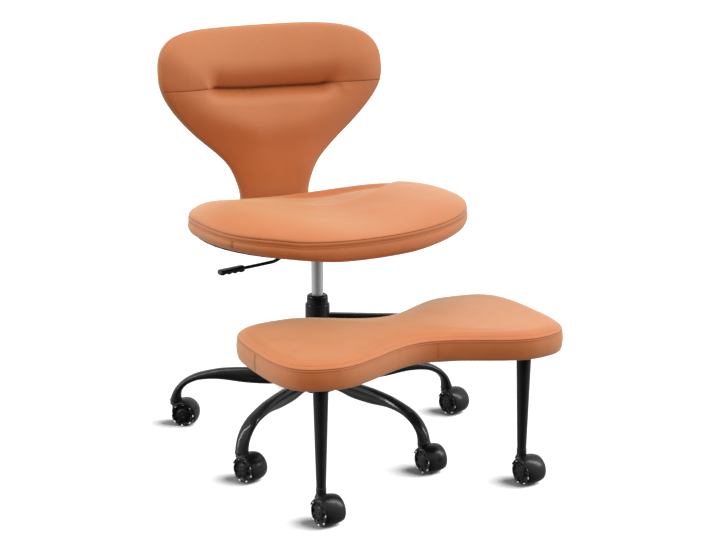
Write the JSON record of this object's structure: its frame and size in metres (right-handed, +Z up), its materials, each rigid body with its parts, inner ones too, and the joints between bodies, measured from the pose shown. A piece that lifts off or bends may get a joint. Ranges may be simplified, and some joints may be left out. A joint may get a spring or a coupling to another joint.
{
  "type": "cross-legged office chair",
  "caption": "Armless office chair with an oval cradle seat, a mushroom back, a gas-lift caster base and an hourglass footrest stool that swings round the column on caster legs.",
  "frame": {"origin": "bottom centre of the bounding box, on the floor", "axes": "+Z up; the sitter faces -Y; +X is the sitter's left"},
  "size_m": [0.7292, 0.9202, 0.9405],
  "materials": {
    "tan_leather": "satin",
    "black_steel": "satin",
    "black_plastic": "gloss",
    "black_board": "matte",
    "chrome": "polished",
    "bright_steel": "satin"
  },
  "bodies": {
    "base": {"base_hub": "black_steel", "base_leg_1": "black_steel", "base_leg_2": "black_steel", "base_leg_3": "black_steel", "base_leg_4": "black_steel", "base_leg_5": "black_steel", "gas_lift_tube": "black_steel", "gas_lift_guide_bush": "black_plastic", "base_caster_1_stem": "bright_steel", "base_caster_2_stem": "bright_steel", "base_caster_3_stem": "bright_steel", "base_caster_4_stem": "bright_steel", "base_caster_5_stem": "bright_steel"},
    "gas_piston": {"gas_lift_piston_rod": "bright_steel"},
    "seat": {"gas_lift_cylinder": "chrome", "seat_mechanism": "black_steel", "seat_board": "black_board", "seat_cushion": "tan_leather", "back_bracket": "black_steel", "back_cushion": "tan_leather"},
    "lever": {"lever_rod": "black_steel", "lever_handle": "black_plastic"},
    "release_pin": {"gas_release_pin": "bright_steel"},
    "footrest": {"footrest_pivot_sleeve": "black_steel", "footrest_arm": "black_steel", "footrest_cross_bar": "black_steel", "footrest_board": "black_board", "footrest_cushion": "tan_leather", "footrest_leg_left": "black_steel", "footrest_leg_right": "black_steel", "footrest_caster_left_stem": "bright_steel", "footrest_caster_right_stem": "bright_steel"},
    "base_caster_1": {"base_caster_1_hood": "black_plastic", "base_caster_1_axle": "bright_steel"},
    "base_caster_1_left_wheel": {"base_caster_1_wheel_left": "black_plastic"},
    "base_caster_1_right_wheel": {"base_caster_1_wheel_right": "black_plastic"},
    "base_caster_2": {"base_caster_2_hood": "black_plastic", "base_caster_2_axle": "bright_steel"},
    "base_caster_2_left_wheel": {"base_caster_2_wheel_left": "black_plastic"},
    "base_caster_2_right_wheel": {"base_caster_2_wheel_right": "black_plastic"},
    "base_caster_3": {"base_caster_3_hood": "black_plastic", "base_caster_3_axle": "bright_steel"},
    "base_caster_3_left_wheel": {"base_caster_3_wheel_left": "black_plastic"},
    "base_caster_3_right_wheel": {"base_caster_3_wheel_right": "black_plastic"},
    "base_caster_4": {"base_caster_4_hood": "black_plastic", "base_caster_4_axle": "bright_steel"},
    "base_caster_4_left_wheel": {"base_caster_4_wheel_left": "black_plastic"},
    "base_caster_4_right_wheel": {"base_caster_4_wheel_right": "black_plastic"},
    "base_caster_5": {"base_caster_5_hood": "black_plastic", "base_caster_5_axle": "bright_steel"},
    "base_caster_5_left_wheel": {"base_caster_5_wheel_left": "black_plastic"},
    "base_caster_5_right_wheel": {"base_caster_5_wheel_right": "black_plastic"},
    "footrest_caster_left": {"footrest_caster_left_hood": "black_plastic", "footrest_caster_left_axle": "bright_steel"},
    "footrest_caster_left_left_wheel": {"footrest_caster_left_wheel_left": "black_plastic"},
    "footrest_caster_left_right_wheel": {"footrest_caster_left_wheel_right": "black_plastic"},
    "footrest_caster_right": {"footrest_caster_right_hood": "black_plastic", "footrest_caster_right_axle": "bright_steel"},
    "footrest_caster_right_left_wheel": {"footrest_caster_right_wheel_left": "black_plastic"},
    "footrest_caster_right_right_wheel": {"footrest_caster_right_wheel_right": "black_plastic"}
  },
  "joints": [
    {"name": "seat_swivel", "type": "hinge", "parent": "base", "child": "gas_piston", "pos_m": [-0.02552, 0.11506, 0.05], "axis": [0, 0, 1], "continuous": true},
    {"name": "seat_lift", "type": "slide", "parent": "gas_piston", "child": "seat", "axis": [0, 0, 1], "range_m": [-0.088, 0.01]},
    {"name": "lever_lift", "type": "hinge", "parent": "seat", "child": "lever", "pos_m": [-0.06552, 0.11506, 0.4695], "axis": [0, 1, 0], "range_deg": [0, 7], "stiffness_Nm_per_rad": 4, "springref_deg": -3.44},
    {"name": "release_pin_press", "type": "slide", "parent": "seat", "child": "release_pin", "axis": [0, 0, 1], "range_m": [-0.0052, 0]},
    {"name": "footrest_swing", "type": "hinge", "parent": "base", "child": "footrest", "pos_m": [-0.02552, 0.11506, 0.287], "axis": [0, 0, 1], "continuous": true},
    {"name": "base_caster_1_swivel", "type": "hinge", "parent": "base", "child": "base_caster_1", "pos_m": [-0.30057, 0.3315, 0.05], "axis": [0, 0, 1], "continuous": true},
    {"name": "base_caster_1_left_wheel_spin", "type": "hinge", "parent": "base_caster_1", "child": "base_caster_1_left_wheel", "pos_m": [-0.28341, 0.3179, 0.028], "axis": [0.6211, 0.7837, 0], "continuous": true},
    {"name": "base_caster_1_right_wheel_spin", "type": "hinge", "parent": "base_caster_1", "child": "base_caster_1_right_wheel", "pos_m": [-0.28341, 0.3179, 0.028], "axis": [0.6211, 0.7837, 0], "continuous": true},
    {"name": "base_caster_2_swivel", "type": "hinge", "parent": "base", "child": "base_caster_2", "pos_m": [-0.31637, -0.07964, 0.05], "axis": [0, 0, 1], "continuous": true},
    {"name": "base_caster_2_left_wheel_spin", "type": "hinge", "parent": "base_caster_2", "child": "base_caster_2_left_wheel", "pos_m": [-0.30735, -0.0996, 0.028], "axis": [0.9114, 0.4115, 0], "continuous": true},
    {"name": "base_caster_2_right_wheel_spin", "type": "hinge", "parent": "base_caster_2", "child": "base_caster_2_right_wheel", "pos_m": [-0.30735, -0.0996, 0.028], "axis": [0.9114, 0.4115, 0], "continuous": true},
    {"name": "base_caster_3_swivel", "type": "hinge", "parent": "base", "child": "base_caster_3", "pos_m": [0.06978, -0.22172, 0.05], "axis": [0, 0, 1], "continuous": true},
    {"name": "base_caster_3_left_wheel_spin", "type": "hinge", "parent": "base_caster_3", "child": "base_caster_3_left_wheel", "pos_m": [0.07283, -0.2434, 0.028], "axis": [0.9903, 0.1392, 0], "continuous": true},
    {"name": "base_caster_3_right_wheel_spin", "type": "hinge", "parent": "base_caster_3", "child": "base_caster_3_right_wheel", "pos_m": [0.07283, -0.2434, 0.028], "axis": [0.9903, 0.1392, 0], "continuous": true},
    {"name": "base_caster_4_swivel", "type": "hinge", "parent": "base", "child": "base_caster_4", "pos_m": [0.32422, 0.10162, 0.05], "axis": [0, 0, 1], "continuous": true},
    {"name": "base_caster_4_left_wheel_spin", "type": "hinge", "parent": "base_caster_4", "child": "base_caster_4_left_wheel", "pos_m": [0.33153, 0.08098, 0.028], "axis": [0.9426, 0.3338, 0], "continuous": true},
    {"name": "base_caster_4_right_wheel_spin", "type": "hinge", "parent": "base_caster_4", "child": "base_caster_4_right_wheel", "pos_m": [0.33153, 0.08098, 0.028], "axis": [0.9426, 0.3338, 0], "continuous": true},
    {"name": "base_caster_5_swivel", "type": "hinge", "parent": "base", "child": "base_caster_5", "pos_m": [0.09533, 0.44353, 0.05], "axis": [0, 0, 1], "continuous": true},
    {"name": "base_caster_5_left_wheel_spin", "type": "hinge", "parent": "base_caster_5", "child": "base_caster_5_left_wheel", "pos_m": [0.10726, 0.42517, 0.028], "axis": [0.8387, 0.5446, 0], "continuous": true},
    {"name": "base_caster_5_right_wheel_spin", "type": "hinge", "parent": "base_caster_5", "child": "base_caster_5_right_wheel", "pos_m": [0.10726, 0.42517, 0.028], "axis": [0.8387, 0.5446, 0], "continuous": true},
    {"name": "footrest_caster_left_swivel", "type": "hinge", "parent": "footrest", "child": "footrest_caster_left", "pos_m": [-0.27552, -0.38494, 0.05], "axis": [0, 0, 1], "continuous": true},
    {"name": "footrest_caster_left_left_wheel_spin", "type": "hinge", "parent": "footrest_caster_left", "child": "footrest_caster_left_left_wheel", "pos_m": [-0.27198, -0.40655, 0.028], "axis": [0.9869, 0.1616, 0], "continuous": true},
    {"name": "footrest_caster_left_right_wheel_spin", "type": "hinge", "parent": "footrest_caster_left", "child": "footrest_caster_left_right_wheel", "pos_m": [-0.27198, -0.40655, 0.028], "axis": [0.9869, 0.1616, 0], "continuous": true},
    {"name": "footrest_caster_right_swivel", "type": "hinge", "parent": "footrest", "child": "footrest_caster_right", "pos_m": [0.22448, -0.38494, 0.05], "axis": [0, 0, 1], "continuous": true},
    {"name": "footrest_caster_right_left_wheel_spin", "type": "hinge", "parent": "footrest_caster_right", "child": "footrest_caster_right_left_wheel", "pos_m": [0.22851, -0.40647, 0.028], "axis": [0.9829, 0.184, 0], "continuous": true},
    {"name": "footrest_caster_right_right_wheel_spin", "type": "hinge", "parent": "footrest_caster_right", "child": "footrest_caster_right_right_wheel", "pos_m": [0.22851, -0.40647, 0.028], "axis": [0.9829, 0.184, 0], "continuous": true}
  ],
  "couplings": [
    {"joint": "release_pin_press", "follows": "lever_lift", "m_per_rad": -0.0395}
  ]
}
